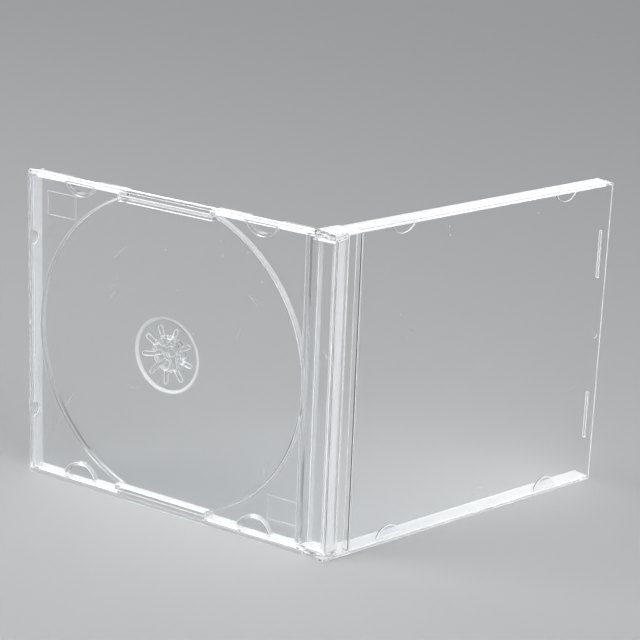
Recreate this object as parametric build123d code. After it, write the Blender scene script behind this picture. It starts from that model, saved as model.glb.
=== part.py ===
from build123d import *
import os
from math import hypot, sqrt

os.makedirs("parts", exist_ok=True)

# A clear disc case of three mouldings: a base with the spine, a disc tray that
# snaps into the base, and a lid that hangs on two pins moulded on its ears.
# Each moulding is drawn closed and lying on its back, in millimetres:
#   X runs from the spine's outer face to the opening edge,
#   Y runs along the hinge, Z runs from the back face up to the lid's face.
# The finished pieces are then stood on their long edges, with the hinge line
# upright at X = Y = 0 and the lid swung open.

# Closed case
case_length = 142.0
case_height = 125.0
case_thickness = 10.4
opening_angle = 107.1
corner_radius = 0.6
edge_radius = 0.3

# Base
base_panel = 1.2
base_wall = 1.2
rail_width = 1.4         # low rails on the long edges, under the lid's side walls
rail_height = 1.6
spine_height = 8.0
end_wall_height = 9.0
cheek_thickness = 1.1

# Hinge
hinge_from_spine = 4.34
pin_radius = 1.45
pin_fit = 0.05           # radial clearance of a pin in its hole
pin_chamfer = 0.3
pin_short = 0.1          # how far a pin ends inside its cheek
ear_gap = 0.3            # lid ear to base, along the hinge
ear_swing_gap = 0.2      # turning ear to the end of the base's rail
ear_bottom = 0.5

# Lid
lid_panel = 1.2
lid_wall = 1.2
lid_edge = 12.5          # the panel's edge beside the spine
rail_gap = 0.2           # side wall above the base's rail
lip_thickness = 1.0
lip_depth = 2.3
tab_radius = 6.2
tab_reach = 4.1          # how far a booklet tab stands in from the wall
tab_thickness = 1.0
booklet_space = 2.2      # between a tab and the lid's panel
stop_length = 19.5
stop_thickness = 0.8
stop_height = 1.2
stop_from_opening = 3.5
stop_from_end = 19.0

# Disc tray
skin = 1.1
tray_gap = 0.2           # to the base's end walls
seat_gap = 0.15          # to the base's panel
side_gap = 0.4           # to the lid's side walls
cheek_gap = 0.3
floor_top = 5.3
plate_top = 7.8
strip_top = 8.0
notch_end = 9.9          # where the tray widens beyond the hinge cheeks
strip_edge = 11.1        # where the spine strip drops to the channel
channel_end = 14.6       # where the channel rises to the corner plates
well_radius = 61.1
well_draft = 0.5         # how much wider the well is at its rim
bay_half_width = 20.8    # the open stretch between two corner blocks
bay_depth = 2.7          # tray's side to the floor's edge in that stretch
bay_flange = 1.4         # the part of that depth with a low flange
recess_radius = 7.0
tab_spacing = 42.0       # disc centre to a tab and its recess, along the case

# Hub
land_outer_radius = 15.0
land_radius = 14.0
land_rise = 0.6
land_edge_radius = 0.5
land_inset = 0.35        # how much smaller the land is on its underside
hub_radius = 7.4
hub_top = 8.4
hub_skin = 0.9
hub_shoulder = 0.6
bead_reach = 0.25        # how far the snap bead stands out of the hub
bead_level = 7.4
bead_half_height = 0.35
slot_count = 9
slot_width = 1.5
slot_inside = 3.0        # hub's outside to a slot's inner end
slot_outside = 4.2       # hub's outside to a slot's outer end
slot_angle = 32.0
arm_step = 3             # one finger in three is an arm, the others are tongues
tongue_radius = 1.9
tongue_inside = 2.0      # hub's outside to a tongue's centre
arm_width = 2.6
boss_radius = 2.7
vent_radius = 1.5

# Snaps between tray and base, in the opening wall
snap_from_end = 27.0
window_width = 6.0
window_height = 1.4
window_bottom = 5.6
snap_reach = 0.7
snap_width_gap = 0.6
snap_height_gap = 0.3
relief_radius = 2.8

# Small marks
gate_radius = 0.9
gate_depth = 0.2
gate_level = 3.4
border_length = 14.2
border_width = 9.7
border_line = 0.4
border_depth = 0.2
border_centres = ((23.5, 11.9), (130.3, 110.8))

# Places worked out from the sizes above
hinge_level = case_thickness / 2
mid_height = case_height / 2
lid_inside = case_thickness - lid_panel
ear_radius = hypot(hinge_from_spine, hinge_level - ear_bottom)
rail_start = hinge_from_spine + sqrt(
    (ear_radius + ear_swing_gap) ** 2 - (hinge_level - rail_height) ** 2
)
base_side = lid_wall + ear_gap
cheek_inside = base_side + cheek_thickness
cheek_radius = spine_height - hinge_level
tray_start = base_wall + tray_gap
tray_end = case_length - base_wall - tray_gap
tray_side = lid_wall + side_gap
tray_bottom = base_panel + seat_gap
strip_side = cheek_inside + cheek_gap
disc_x = tray_end - 2 * skin - well_radius - well_draft
slot_pitch = 360 / slot_count


def block(x0, x1, y0, y1, z0, z1):
    """A box between two corners."""
    size = (x1 - x0, y1 - y0, z1 - z0)
    middle = ((x0 + x1) / 2, (y0 + y1) / 2, (z0 + z1) / 2)
    return Pos(*middle) * Box(*size)


def upright(x, y, radius, z0, z1):
    """An upright cylinder between two heights."""
    return Pos(x, y, (z0 + z1) / 2) * Cylinder(radius, z1 - z0)


def taper(radius0, radius1, z0, z1):
    """An upright cone about the disc's centre."""
    return Pos(disc_x, mid_height, (z0 + z1) / 2) * Cone(radius0, radius1, z1 - z0)


def about_hinge(radius, y0, y1):
    """A cylinder round the hinge line."""
    centre = Pos(hinge_from_spine, (y0 + y1) / 2, hinge_level)
    return centre * Rot(90, 0, 0) * Cylinder(radius, y1 - y0)


def both_ends(shape):
    """The shape and its twin at the other end of the hinge."""
    middle = Plane((0, mid_height, 0), z_dir=(0, 1, 0))
    return [shape, mirror(shape, about=middle)]


def snap_box(x0, x1, width_gap, height_gap):
    """The space of a snap window, less a gap on each side."""
    half = window_width / 2 - width_gap
    z0 = window_bottom + height_gap
    z1 = window_bottom + window_height - height_gap
    return block(x0, x1, snap_from_end - half, snap_from_end + half, z0, z1)


def hinge_cheek():
    """A cheek beside the spine, rounded about the pin's hole."""
    foot_end = hinge_from_spine + cheek_radius
    cheek = block(0, foot_end, base_side, cheek_inside, 0, hinge_level)
    cheek += block(0, hinge_from_spine, base_side, cheek_inside, 0, spine_height)
    return cheek + about_hinge(cheek_radius, base_side, cheek_inside)


def make_base():
    """The back panel with the spine, the opening wall and the hinge cheeks."""
    far_side = case_height - base_side
    base = block(rail_start, case_length, 0, case_height, 0, base_panel)
    base += block(0, rail_start, base_side, far_side, 0, base_panel)
    base += block(0, base_wall, base_side, far_side, 0, spine_height)
    base += block(case_length - base_wall, case_length, base_side, far_side, 0, end_wall_height)
    base += both_ends(block(rail_start, case_length, 0, rail_width, 0, rail_height))
    base += both_ends(hinge_cheek())

    hole = about_hinge(pin_radius + pin_fit, 0, strip_side)
    window = snap_box(tray_end, case_length + base_wall, 0, 0)
    gate = Pos(case_length, mid_height, gate_level) * Rot(0, 90, 0) * Cylinder(gate_radius, 2 * gate_depth)
    base -= both_ends(hole) + both_ends(window) + [gate]

    back_edges = base.edges().filter_by(Axis.Y).filter_by_position(Axis.Z, 0, 0)
    outer_edges = [back_edges.sort_by(Axis.X)[0], back_edges.sort_by(Axis.X)[-1]]
    base = fillet(outer_edges, edge_radius)
    corners = base.edges().filter_by(Axis.Z).group_by(Axis.X)[-1]
    ends = [edge for edge in corners if edge.length < rail_height]
    return fillet(ends, corner_radius)


def side_wall():
    """A side wall of the lid, with the ear that turns about the hinge."""
    wall = block(0, case_length, 0, lid_wall, rail_height + rail_gap, case_thickness)
    ear = about_hinge(ear_radius, 0, lid_wall)
    ear &= block(0, case_length, 0, lid_wall, ear_bottom, hinge_level)
    return wall + ear


def hinge_pin():
    """A pin on an ear's inner face, with a chamfered nose."""
    end = cheek_inside - pin_short
    pin = about_hinge(pin_radius, lid_wall / 2, end)
    return chamfer(pin.edges().sort_by(Axis.Y)[-1], pin_chamfer)


def booklet_tab(x):
    """A half-moon tab that holds the booklet against the lid."""
    z1 = lid_inside - booklet_space
    moon = upright(x, lid_wall + tab_reach - tab_radius, tab_radius, z1 - tab_thickness, z1)
    return moon & block(0, case_length, lid_wall / 2, mid_height, 0, case_thickness)


def booklet_stop():
    """A low rib that keeps the booklet from sliding out."""
    x1 = case_length - stop_from_opening
    y1 = stop_from_end + stop_length
    z0 = lid_inside - stop_height
    return block(x1 - stop_thickness, x1, stop_from_end, y1, z0, case_thickness)


def make_lid():
    """The lid's panel with its side walls, ears, pins, tabs and stops."""
    lid = block(lid_edge, case_length, 0, case_height, lid_inside, case_thickness)
    lip_end = lid_edge + lip_thickness
    lid += block(lid_edge, lip_end, 0, case_height, lid_inside - lip_depth, case_thickness)
    lid += both_ends(side_wall()) + both_ends(hinge_pin()) + both_ends(booklet_stop())
    for x in (disc_x - tab_spacing, disc_x + tab_spacing):
        lid += both_ends(booklet_tab(x))

    gate_x = case_length - stop_from_opening
    lid -= upright(gate_x, mid_height, gate_radius, case_thickness - gate_depth, case_thickness + gate_depth)
    outer_corners = lid.edges().filter_by(Axis.Z).group_by(Axis.X)[-1].sort_by(SortBy.LENGTH)[-2:]
    return fillet(outer_corners, corner_radius)


def footprint(inset, z0, z1):
    """The tray's outline, narrower between the hinge cheeks."""
    side = tray_side + inset
    wide = block(notch_end + inset, tray_end - inset, side, case_height - side, z0, z1)
    return wide + spine_strip(inset, notch_end + 2 * skin, z0, z1)


def spine_strip(inset, end, z0, z1):
    """The part of the tray beside the spine."""
    side = strip_side + inset
    return block(tray_start + inset, end, side, case_height - side, z0, z1)


def well(grow, z0, z1):
    """The drafted space that the disc lies in."""
    slope = well_draft / (plate_top - floor_top)
    radius0 = well_radius + grow + slope * (z0 - floor_top)
    radius1 = well_radius + grow + slope * (z1 - floor_top)
    return taper(radius0, radius1, z0, z1)


def bay(depth, grow, z0, z1):
    """The open stretch between two corner blocks."""
    half = bay_half_width + grow
    return block(disc_x - half, disc_x + half, 0, tray_side + depth + grow, z0, z1)


def tray_form(inset):
    """The tray's outer form, or with an inset the hollow under its skin."""
    foot = tray_bottom - inset
    floor = floor_top - inset
    plate = plate_top - inset
    low = footprint(inset, foot, floor)
    blocks = footprint(inset, floor, plate)
    blocks -= block(0, channel_end + inset, 0, case_height, floor, plate)
    blocks -= well(inset, floor, plate)
    blocks -= both_ends(bay(bay_depth + skin, inset, floor, plate))
    for x in (disc_x - tab_spacing, disc_x + tab_spacing):
        blocks -= both_ends(upright(x, 0, recess_radius + inset, floor, plate))
    form = low + blocks
    form += spine_strip(inset, strip_edge - inset, foot, strip_top - inset)
    form -= both_ends(bay(bay_depth, inset, tray_bottom + skin - inset, plate))
    return form - both_ends(bay(bay_depth - bay_flange, inset, foot, plate))


def turned(outline, corner, radius):
    """An outline turned about the disc's axis, with one corner rounded."""
    face = make_face(outline)
    vertex = face.vertices().sort_by_distance((corner[0], corner[1], 0))[0]
    return Pos(disc_x, mid_height, 0) * revolve(Plane.XZ * fillet(vertex, radius), Axis.Z)


def hub_solid():
    """The land and the dome as one turned solid, before it is hollowed."""
    below = (hub_radius, bead_level - bead_half_height)
    above = (hub_radius, bead_level + bead_half_height)
    shoulder = (hub_radius, hub_top - hub_shoulder)
    crown = (hub_radius - hub_shoulder, hub_top)
    foot = floor_top - skin
    land = (land_radius, floor_top + land_rise)
    outline = Polyline(
        crown,
        (0, hub_top),
        (0, foot),
        (land_outer_radius, foot),
        (land_outer_radius, floor_top),
        land,
        (hub_radius, floor_top + land_rise),
        below,
    )
    outline += ThreePointArc(below, (hub_radius + bead_reach, bead_level), above)
    outline += Line(above, shoulder)
    outline += TangentArc(shoulder, crown, tangent=(0, 1))
    return turned(outline, land, land_edge_radius)


def land_hollow():
    """The space under the land."""
    foot = floor_top - skin
    corner = (land_radius - land_inset, foot + land_rise)
    outline = Polyline((0, foot), (land_outer_radius - land_inset, foot), corner, (0, corner[1]), close=True)
    return turned(outline, corner, land_edge_radius)


def hub_gaps():
    """The slots and windows that part the hub into arms and tongues."""
    gaps = Circle(hub_radius - skin) - Circle(boss_radius)
    slot = Pos(hub_radius + (slot_outside - slot_inside) / 2, 0)
    slot *= SlotOverall(slot_inside + slot_outside, slot_width)
    arm = Pos(hub_radius / 2, 0) * Rectangle(hub_radius, arm_width)
    tongue = Pos(hub_radius - tongue_inside, 0) * Circle(tongue_radius)
    turns = [slot_angle + i * slot_pitch for i in range(slot_count)]
    for i, turn in enumerate(turns):
        finger = tongue if i % arm_step else arm
        gaps -= Rot(0, 0, turn - slot_pitch / 2) * finger
    for turn in turns:
        gaps += Rot(0, 0, turn) * slot
    gaps += Circle(vent_radius)
    return Pos(disc_x, mid_height, 0) * extrude(gaps, case_thickness)


def border(centre):
    """A plain sunk border on a corner plate."""
    outer = Rectangle(border_length, border_width)
    inner = Rectangle(border_length - 2 * border_line, border_width - 2 * border_line)
    place = Pos(centre[0], centre[1], plate_top - border_depth)
    return place * extrude(outer - inner, 2 * border_depth)


def make_tray():
    """The disc tray: one thin skin with the well, the hub and the snaps."""
    tray = tray_form(0) - tray_form(skin)
    tray += hub_solid()
    tray -= land_hollow()
    tray -= upright(disc_x, mid_height, hub_radius - skin, floor_top - skin, hub_top - hub_skin)
    tray -= hub_gaps()
    snap = snap_box(tray_end - skin / 2, tray_end + snap_reach, snap_width_gap, snap_height_gap)
    tray += both_ends(snap)
    relief = Pos(tray_end, snap_from_end, tray_bottom) * Rot(0, 90, 0) * Cylinder(relief_radius, 3 * skin)
    tray -= both_ends(relief)
    tray -= [border(centre) for centre in border_centres]
    return tray


lying_to_standing = Plane(
    (hinge_from_spine, -hinge_level, 0), x_dir=(-1, 0, 0), z_dir=(0, 1, 0)
).location
export_step(lying_to_standing * make_base(), "parts/base.step")
export_step(lying_to_standing * make_tray(), "parts/disc_tray.step")
export_step(Rot(0, 0, -opening_angle) * lying_to_standing * make_lid(), "parts/lid.step")
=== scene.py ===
from math import cos, radians, sin

import bpy
from mathutils import Matrix, Vector

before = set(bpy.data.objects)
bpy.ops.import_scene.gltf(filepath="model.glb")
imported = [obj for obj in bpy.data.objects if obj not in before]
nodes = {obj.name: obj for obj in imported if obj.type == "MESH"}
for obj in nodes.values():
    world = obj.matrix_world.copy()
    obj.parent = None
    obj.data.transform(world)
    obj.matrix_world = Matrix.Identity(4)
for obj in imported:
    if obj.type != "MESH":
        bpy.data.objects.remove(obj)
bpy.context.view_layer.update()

MM = 0.001

# Camera, solved from the photograph: metres, degrees, and the lens in millimetres
CAMERA_PLACE = (0.37233, -0.59071, 0.31922)
CAMERA_HEADING = 32.575
CAMERA_PITCH = 18.067
CAMERA_ROLL = 2.301
CAMERA_LENS = 115.86
CAMERA_SENSOR = 36

# Clear polystyrene
PLASTIC_IOR = 1.59
SURFACE_TINT = (0.98, 0.985, 0.99, 1)
SHADOW_TINT = (0.93, 0.935, 0.94, 1)
PANEL_LIGHT_SHARE = 0.9
EDGE_LIGHT_SHARE = 0.5

# How far the case stands open, and which way its panels face
OPENING_ANGLE = radians(107.1)
BASE_NORMAL = (0, 1, 0)
LID_NORMAL = (sin(OPENING_ANGLE), cos(OPENING_ANGLE), 0)

# Narrow walls and edges, painted part white, a painted highlight in place of the glints of the clear
# walls: the panel's facing from which and to which they fade in
PANEL_FACING = 0.75
WALL_FACING = 0.35
WALL_ROUGHNESS = 0.12

# Each moulding: how white its walls are painted, a painted highlight, and the width of its edge bevel in
# millimetres
MOULDINGS = {
    "base": {"normal": BASE_NORMAL, "white": 0.12, "bevel": 0.1},
    "disc_tray": {"normal": BASE_NORMAL, "white": 0.3, "bevel": 0.17},
    "lid": {"normal": LID_NORMAL, "white": 0.08, "bevel": 0.17},
}

# The sloped edge of the land that the disc lies on, painted with a white ring, a painted highlight:
# radius and width in millimetres
DISC_CENTRE = (-0.07226, 0, 0.0625)
RING_RADIUS = 14.5
RING_WIDTH = 0.9
RING_HIGHLIGHT = 0.6
RING_CORE = 0.5
RING_FADE = 0.7

# Dust: cells a metre, a speck's radius in a cell, and the share of the cells that have none
DUST_SCALE = 150.0
SPECK_CORE = 0.02
SPECK_EDGE = 0.05
CLEAN_CELLS = 0.8

# Scratches: the noise level that they follow, their half width in it, and the patches that have them
SWIRL_SCALE = 26.0
SCRATCH_LEVEL = 0.47
SCRATCH_CORE = 0.0004
SCRATCH_EDGE = 0.0012
PATCH_SCALE = 45.0
PATCH_START = 0.6
PATCH_FULL = 0.68
SCRATCH_WHITE = 0.35

# Polish: handling smudges that roughen the surface, and the faint waves of a moulded panel
SMUDGE_SCALE = 38.0
SMUDGE_START = 0.45
SMUDGE_FULL = 0.8
POLISHED = 0.012
SMUDGED = 0.06
WAVE_SCALE = 14.0
WAVE_STRENGTH = 0.12
WAVE_HEIGHT = 0.4 * MM

# Painted edge highlight: the bevel faces painted white in patches, in place of glints
EDGE_PATCH_SCALE = 260.0
EDGE_PATCH_START = 0.35
EDGE_PATCH_FULL = 0.65
CLEAREST_EDGE = 0.25
EDGE_ROUGHNESS = 0.3

# Edge bevels and smooth shading, in degrees and millimetres
WELD_REACH = 0.002
FLAT_ANGLE = 0.3
BEVEL_ANGLE = 60
BEVEL_SEGMENTS = 2
SHARP_ANGLE = 18
EDGE_SLOT = 1

# Studio, in metres and watts
FLOOR_SIZE = 8.0
FLOOR_DROP = 0.02 * MM
FLOOR_COLOUR = (0.47, 0.475, 0.48, 1)
FLOOR_ROUGHNESS = 0.9
CASE_CENTRE = (-0.03, 0.03, 0.06)
LIGHTS = {
    "key": {"place": (-0.9, -0.7, 1.3), "width": 0.9, "height": 0.9, "power": 18},
    "fill": {"place": (1.3, -0.5, 0.9), "width": 0.9, "height": 0.9, "power": 18},
    "back": {"place": (-1.6, 2.5, 1.15), "width": 2.6, "height": 1.5, "power": 22},
}
WORLD_COLOUR = (0.25, 0.26, 0.27, 1)
WORLD_STRENGTH = 0.6


def new_material(name):
    """An empty node material and its tree."""
    material = bpy.data.materials.new(name)
    material.use_nodes = True
    tree = material.node_tree
    tree.nodes.clear()
    return material, tree


def add(tree, kind, **values):
    """A node whose sockets and settings are set by name."""
    node = tree.nodes.new(kind)
    for key, value in values.items():
        if key in node.inputs:
            node.inputs[key].default_value = value
        else:
            setattr(node, key, value)
    return node


def calculate(tree, operation, first, second):
    """A math node on two values, each a socket or a number."""
    node = add(tree, "ShaderNodeMath", operation=operation)
    for socket, value in zip(node.inputs, (first, second)):
        if isinstance(value, bpy.types.NodeSocket):
            tree.links.new(value, socket)
        else:
            socket.default_value = value
    return node.outputs[0]


def distance_from(tree, value, level):
    """How far the value is from a level, either way."""
    return calculate(tree, "ABSOLUTE", calculate(tree, "SUBTRACT", value, level), 0.0)


def spread(tree, value, low, high, start, end):
    """The value's range from low to high, carried over to start to end."""
    node = tree.nodes.new("ShaderNodeMapRange")
    tree.links.new(value, node.inputs["Value"])
    for name, number in (("From Min", low), ("From Max", high), ("To Min", start), ("To Max", end)):
        node.inputs[name].default_value = number
    return node.outputs["Result"]


def texture(tree, kind, place, **values):
    """A texture node at the given coordinates."""
    node = add(tree, kind, **values)
    tree.links.new(place, node.inputs["Vector"])
    return node


def vector_step(tree, operation, vector, second=None):
    """A vector math node on a socket and, where it takes two, a vector."""
    node = add(tree, "ShaderNodeVectorMath", operation=operation)
    tree.links.new(vector, node.inputs[0])
    if second:
        node.inputs[1].default_value = second
    return node


def edge_faces(tree, panel_normal):
    """1 on the narrow faces round a panel and on walls that stand on it, 0 on the panel."""
    normal = tree.nodes.new("ShaderNodeTexCoord").outputs["Normal"]
    dot = vector_step(tree, "DOT_PRODUCT", normal, panel_normal)
    facing = calculate(tree, "ABSOLUTE", dot.outputs["Value"], 0.0)
    return spread(tree, facing, PANEL_FACING, WALL_FACING, 0.0, 1.0)


def dust(tree, place):
    """Small specks, one in some of the cells."""
    cells = texture(tree, "ShaderNodeTexVoronoi", place, Scale=DUST_SCALE, Randomness=1.0)
    near = spread(tree, cells.outputs["Distance"], SPECK_CORE, SPECK_EDGE, 1.0, 0.0)
    pick = tree.nodes.new("ShaderNodeSeparateColor")
    tree.links.new(cells.outputs["Color"], pick.inputs["Color"])
    chosen = calculate(tree, "GREATER_THAN", pick.outputs["Red"], CLEAN_CELLS)
    return calculate(tree, "MULTIPLY", near, chosen)


def scratches(tree, place):
    """A few hair-thin handling scratches, faint and white."""
    swirl = texture(tree, "ShaderNodeTexNoise", place, Scale=SWIRL_SCALE, Detail=1.0)
    off_line = distance_from(tree, swirl.outputs["Fac"], SCRATCH_LEVEL)
    line = spread(tree, off_line, SCRATCH_CORE, SCRATCH_EDGE, 1.0, 0.0)
    patches = texture(tree, "ShaderNodeTexNoise", place, Scale=PATCH_SCALE, Detail=2.0)
    chosen = spread(tree, patches.outputs["Fac"], PATCH_START, PATCH_FULL, 0.0, 1.0)
    return calculate(tree, "MULTIPLY", calculate(tree, "MULTIPLY", line, chosen), SCRATCH_WHITE)


def hub_ring_highlight(tree, place):
    """A painted highlight: a white ring round the hub, on the land's sloped edge."""
    from_centre = vector_step(tree, "SUBTRACT", place, DISC_CENTRE)
    across = vector_step(tree, "MULTIPLY", from_centre.outputs["Vector"], (1, 0, 1))
    radius = vector_step(tree, "LENGTH", across.outputs["Vector"])
    off_ring = distance_from(tree, radius.outputs["Value"], RING_RADIUS * MM)
    width = RING_WIDTH * MM
    ring = spread(tree, off_ring, RING_CORE * width, RING_FADE * width, 1.0, 0.0)
    return calculate(tree, "MULTIPLY", ring, RING_HIGHLIGHT)


def handling(tree, place, walls):
    """Roughness: polished panels with smudges, and duller walls."""
    smudge = texture(tree, "ShaderNodeTexNoise", place, Scale=SMUDGE_SCALE, Detail=4.0, Roughness=0.6)
    handled = spread(tree, smudge.outputs["Fac"], SMUDGE_START, SMUDGE_FULL, POLISHED, SMUDGED)
    return calculate(tree, "ADD", handled, calculate(tree, "MULTIPLY", walls, WALL_ROUGHNESS))


def moulded_waves(tree, place):
    """The faint unevenness of a moulded panel, as a bumped normal."""
    wave = texture(tree, "ShaderNodeTexNoise", place, Scale=WAVE_SCALE, Detail=1.0)
    bump = add(tree, "ShaderNodeBump", Strength=WAVE_STRENGTH, Distance=WAVE_HEIGHT)
    tree.links.new(wave.outputs["Fac"], bump.inputs["Height"])
    return bump.outputs["Normal"]


def let_light_through(tree, shader, share):
    """Ends a clear material, so that lamps shine through it and its shadow stays light."""
    through = add(tree, "ShaderNodeBsdfTransparent", Color=SHADOW_TINT)
    ray = tree.nodes.new("ShaderNodeLightPath")
    mix = tree.nodes.new("ShaderNodeMixShader")
    out = tree.nodes.new("ShaderNodeOutputMaterial")
    tree.links.new(calculate(tree, "MULTIPLY", ray.outputs["Is Shadow Ray"], share), mix.inputs["Fac"])
    tree.links.new(shader.outputs["BSDF"], mix.inputs[1])
    tree.links.new(through.outputs["BSDF"], mix.inputs[2])
    tree.links.new(mix.outputs["Shader"], out.inputs["Surface"])


def clear_plastic(name, panel_normal, wall_highlight, with_ring_highlight):
    """Clear moulded polystyrene: polished panels, and walls painted part white, a painted highlight."""
    material, tree = new_material(name)
    place = tree.nodes.new("ShaderNodeTexCoord").outputs["Object"]
    walls = edge_faces(tree, panel_normal)
    marks = calculate(tree, "MAXIMUM", dust(tree, place), scratches(tree, place))
    # Walls painted white, a painted highlight, together with the real dust and scratches
    white = calculate(tree, "MAXIMUM", calculate(tree, "MULTIPLY", walls, wall_highlight), marks)
    # A painted highlight: a white ring round the hub on the disc tray
    if with_ring_highlight:
        white = calculate(tree, "MAXIMUM", white, hub_ring_highlight(tree, place))

    shader = add(tree, "ShaderNodeBsdfPrincipled", IOR=PLASTIC_IOR)
    shader.inputs["Base Color"].default_value = SURFACE_TINT
    tree.links.new(calculate(tree, "SUBTRACT", 1.0, white), shader.inputs["Transmission Weight"])
    tree.links.new(handling(tree, place, walls), shader.inputs["Roughness"])
    tree.links.new(moulded_waves(tree, place), shader.inputs["Normal"])
    let_light_through(tree, shader, PANEL_LIGHT_SHARE)
    return material


def painted_edge_highlight():
    """The moulding's corners painted nearly white, a painted highlight that shows them as light lines,
    clearer in patches.
    """
    material, tree = new_material("painted_edge_highlight")
    place = tree.nodes.new("ShaderNodeTexCoord").outputs["Object"]
    edge_patches = texture(tree, "ShaderNodeTexNoise", place, Scale=EDGE_PATCH_SCALE, Detail=2.0)
    # Painted highlight: the edges mostly white, clearer in patches
    clear = spread(tree, edge_patches.outputs["Fac"], EDGE_PATCH_START, EDGE_PATCH_FULL, 0.0, CLEAREST_EDGE)
    shader = add(tree, "ShaderNodeBsdfPrincipled", Roughness=EDGE_ROUGHNESS, IOR=PLASTIC_IOR)
    shader.inputs["Base Color"].default_value = SURFACE_TINT
    tree.links.new(clear, shader.inputs["Transmission Weight"])
    let_light_through(tree, shader, EDGE_LIGHT_SHARE)
    return material


def floor_material():
    """Plain matt paint."""
    material, tree = new_material("floor_paint")
    shader = add(tree, "ShaderNodeBsdfPrincipled", Roughness=FLOOR_ROUGHNESS)
    shader.inputs["Base Color"].default_value = FLOOR_COLOUR
    out = tree.nodes.new("ShaderNodeOutputMaterial")
    tree.links.new(shader.outputs["BSDF"], out.inputs["Surface"])
    return material


def edge_group(name, kind, limit):
    """Geometry nodes that pick the edges whose angle is over a limit."""
    tree = bpy.data.node_groups.new(name, "GeometryNodeTree")
    for side in ("INPUT", "OUTPUT"):
        tree.interface.new_socket("Geometry", in_out=side, socket_type="NodeSocketGeometry")
    start = tree.nodes.new("NodeGroupInput")
    end = tree.nodes.new("NodeGroupOutput")
    angle = tree.nodes.new("GeometryNodeInputMeshEdgeAngle")
    over = add(tree, "FunctionNodeCompare", data_type="FLOAT", operation="GREATER_THAN", B=radians(limit))
    tree.links.new(angle.outputs[kind], over.inputs["A"])
    return tree, start.outputs["Geometry"], over.outputs["Result"], end.inputs["Geometry"]


def outward_edges():
    """Marks the outward edges for the bevel."""
    tree, mesh, chosen, end = edge_group("outward_edges", "Signed Angle", BEVEL_ANGLE)
    store = add(tree, "GeometryNodeStoreNamedAttribute", domain="EDGE", data_type="FLOAT")
    store.inputs["Name"].default_value = "bevel_weight_edge"
    tree.links.new(mesh, store.inputs["Geometry"])
    tree.links.new(chosen, store.inputs["Value"])
    tree.links.new(store.outputs["Geometry"], end)
    return tree


def sharp_corners():
    """Keeps the shading apart at every corner, and smooth on the curved faces."""
    tree, mesh, chosen, end = edge_group("sharp_corners", "Unsigned Angle", SHARP_ANGLE)
    crease = add(tree, "GeometryNodeSetShadeSmooth", domain="EDGE")
    crease.inputs["Shade Smooth"].default_value = False
    tree.links.new(mesh, crease.inputs["Geometry"])
    tree.links.new(chosen, crease.inputs["Selection"])
    tree.links.new(crease.outputs["Geometry"], end)
    return tree


def soften(piece, width, marks, creases):
    """Rounds the moulding's edges a little, so that they catch the light, and gives the bevel faces the
    painted edge highlight.
    """
    weld = piece.modifiers.new("weld", "WELD")
    weld.merge_threshold = WELD_REACH * MM
    flats = piece.modifiers.new("flats", "DECIMATE")
    flats.decimate_type = "DISSOLVE"
    flats.angle_limit = radians(FLAT_ANGLE)
    piece.modifiers.new("marks", "NODES").node_group = marks
    bevel = piece.modifiers.new("bevel", "BEVEL")
    bevel.width = width * MM
    bevel.segments = BEVEL_SEGMENTS
    bevel.limit_method = "WEIGHT"
    bevel.use_clamp_overlap = False
    bevel.material = EDGE_SLOT
    piece.modifiers.new("creases", "NODES").node_group = creases
    for polygon in piece.data.polygons:
        polygon.use_smooth = True


def dress_mouldings():
    """Gives each moulding its clear plastic, its painted edge highlight and its bevels."""
    edge = painted_edge_highlight()
    marks = outward_edges()
    creases = sharp_corners()
    for name, look in MOULDINGS.items():
        piece = nodes[name]
        clear = clear_plastic(name + "_clear", look["normal"], look["white"], name == "disc_tray")
        piece.data.materials.clear()
        piece.data.materials.append(clear)
        piece.data.materials.append(edge)
        soften(piece, look["bevel"], marks, creases)


def add_floor():
    """A wide square just under the case."""
    half = FLOOR_SIZE / 2
    mesh = bpy.data.meshes.new("floor")
    corners = [(-half, -half, 0), (half, -half, 0), (half, half, 0), (-half, half, 0)]
    mesh.from_pydata(corners, [], [(0, 1, 2, 3)])
    floor = bpy.data.objects.new("floor", mesh)
    floor.location = (0, 0, -FLOOR_DROP)
    bpy.context.scene.collection.objects.link(floor)
    floor.data.materials.append(floor_material())


def add_light(name, place, width, height, power):
    """A soft lamp that faces the case."""
    light = bpy.data.lights.new(name, "AREA")
    light.shape = "RECTANGLE"
    light.size = width
    light.size_y = height
    light.energy = power
    lamp = bpy.data.objects.new(name, light)
    lamp.location = place
    bpy.context.scene.collection.objects.link(lamp)
    direction = Vector(CASE_CENTRE) - lamp.location
    lamp.rotation_euler = direction.to_track_quat("-Z", "Y").to_euler()


def add_world():
    """A plain grey surround, and a view transform that keeps bright edges white."""
    world = bpy.data.worlds.new("studio")
    world.use_nodes = True
    background = world.node_tree.nodes["Background"]
    background.inputs["Color"].default_value = WORLD_COLOUR
    background.inputs["Strength"].default_value = WORLD_STRENGTH
    bpy.context.scene.world = world
    bpy.context.scene.view_settings.view_transform = "Standard"


def add_camera():
    """The photograph's camera, turned by its heading, pitch and roll."""
    heading, pitch, roll = (radians(a) for a in (CAMERA_HEADING, CAMERA_PITCH, CAMERA_ROLL))
    level = Vector((-sin(heading), cos(heading), 0))
    forward = cos(pitch) * level + Vector((0, 0, -sin(pitch)))
    side = Vector((cos(heading), sin(heading), 0))
    rise = side.cross(forward)
    right = cos(roll) * side + sin(roll) * rise
    up = -sin(roll) * side + cos(roll) * rise
    turn = Matrix((right, up, -forward)).transposed().to_4x4()
    data = bpy.data.cameras.new("camera")
    data.lens = CAMERA_LENS
    data.sensor_width = CAMERA_SENSOR
    camera = bpy.data.objects.new("camera", data)
    camera.matrix_world = Matrix.Translation(CAMERA_PLACE) @ turn
    bpy.context.scene.collection.objects.link(camera)
    bpy.context.scene.camera = camera


dress_mouldings()
add_floor()
for name, lamp in LIGHTS.items():
    add_light(name, **lamp)
add_world()
add_camera()
